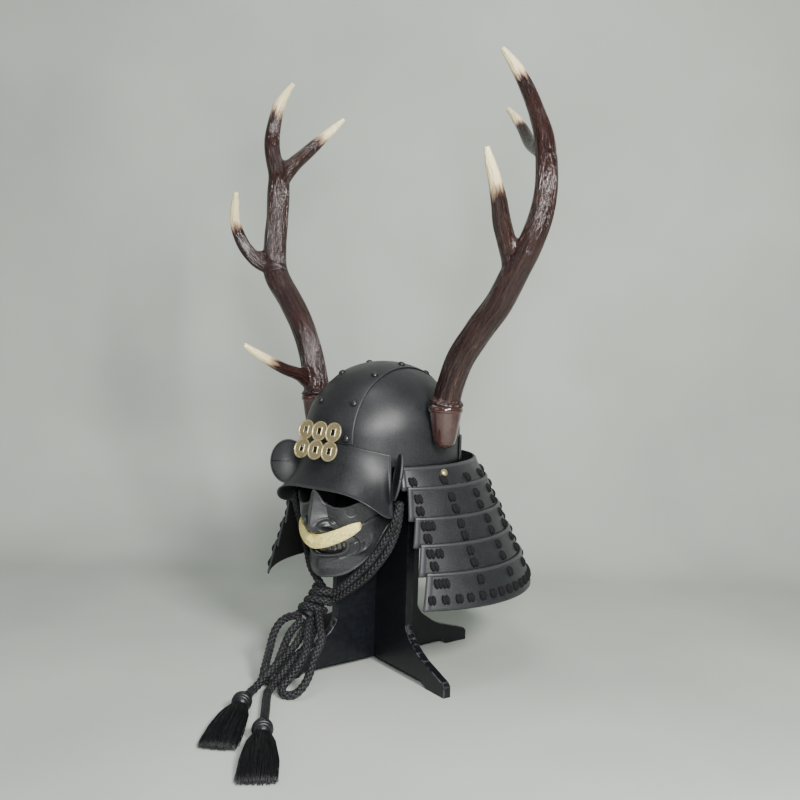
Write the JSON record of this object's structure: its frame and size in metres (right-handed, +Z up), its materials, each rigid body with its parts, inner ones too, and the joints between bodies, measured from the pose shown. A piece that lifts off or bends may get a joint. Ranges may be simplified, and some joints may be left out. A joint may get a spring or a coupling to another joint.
{
  "type": "kabuto samurai helmet with face mask on a stand",
  "caption": "Black samurai helmet with stag antlers, coin crest, laced neck guard and face mask with a cream moustache, tied with a tasselled cord, on a plain crossed wooden stand.",
  "frame": {"origin": "middle of the footprint of everything but the cords, on the floor under the stand", "axes": "+Z up through the helmet to the antler tips, -Y the way the helmet and mask look, +X the wearer's left"},
  "size_m": [0.5314, 0.6702, 0.8717],
  "materials": {
    "black_lacquer": "satin black with a fine sand grain, a little worn at the edges",
    "antler_brown": "glossy dark brown with fine ridges, cream at the tips",
    "socket_brown": "glossy brown",
    "aged_brass": "aged, half matt",
    "cream_hair": "soft cream hair",
    "silvered_teeth": "dull silver paint",
    "black_cord": "braided dark grey cord and silky tassels",
    "black_painted_wood": "black paint, grey where worn"
  },
  "bodies": {
    "root": {"back_band": "black_lacquer", "bowl": "black_lacquer", "coin_crest": "aged_brass", "crest_post": "black_lacquer", "cross_board": "black_painted_wood", "crown_plate": "black_lacquer", "face_mask": "black_lacquer", "knot": "black_cord", "lame_1": "black_lacquer", "lame_2": "black_lacquer", "lame_3": "black_lacquer", "lame_4": "black_lacquer", "lame_5": "black_lacquer", "left_antler": "antler_brown", "left_back_cord": "black_cord", "left_cord": "black_cord", "left_ear_plate": "black_lacquer", "left_loop": "black_cord", "left_side_rivet": "aged_brass", "left_socket": "socket_brown", "left_tail": "black_cord", "left_tassel": "black_cord", "long_board": "black_painted_wood", "mask_bracket": "black_painted_wood", "moustache": "cream_hair", "right_antler": "antler_brown", "right_cord": "black_cord", "right_ear_plate": "black_lacquer", "right_loop": "black_cord", "right_side_rivet": "aged_brass", "right_socket": "socket_brown", "right_tail": "black_cord", "right_tassel": "black_cord", "rivet_left_1": "black_lacquer", "rivet_left_2": "black_lacquer", "rivet_left_3": "black_lacquer", "rivet_left_4": "black_lacquer", "rivet_left_5": "black_lacquer", "rivet_left_6": "black_lacquer", "rivet_right_1": "black_lacquer", "rivet_right_2": "black_lacquer", "rivet_right_3": "black_lacquer", "rivet_right_4": "black_lacquer", "rivet_right_5": "black_lacquer", "rivet_right_6": "black_lacquer", "stand_rest": "black_painted_wood", "teeth": "silvered_teeth", "visor": "black_lacquer"}
  },
  "joints": []
}
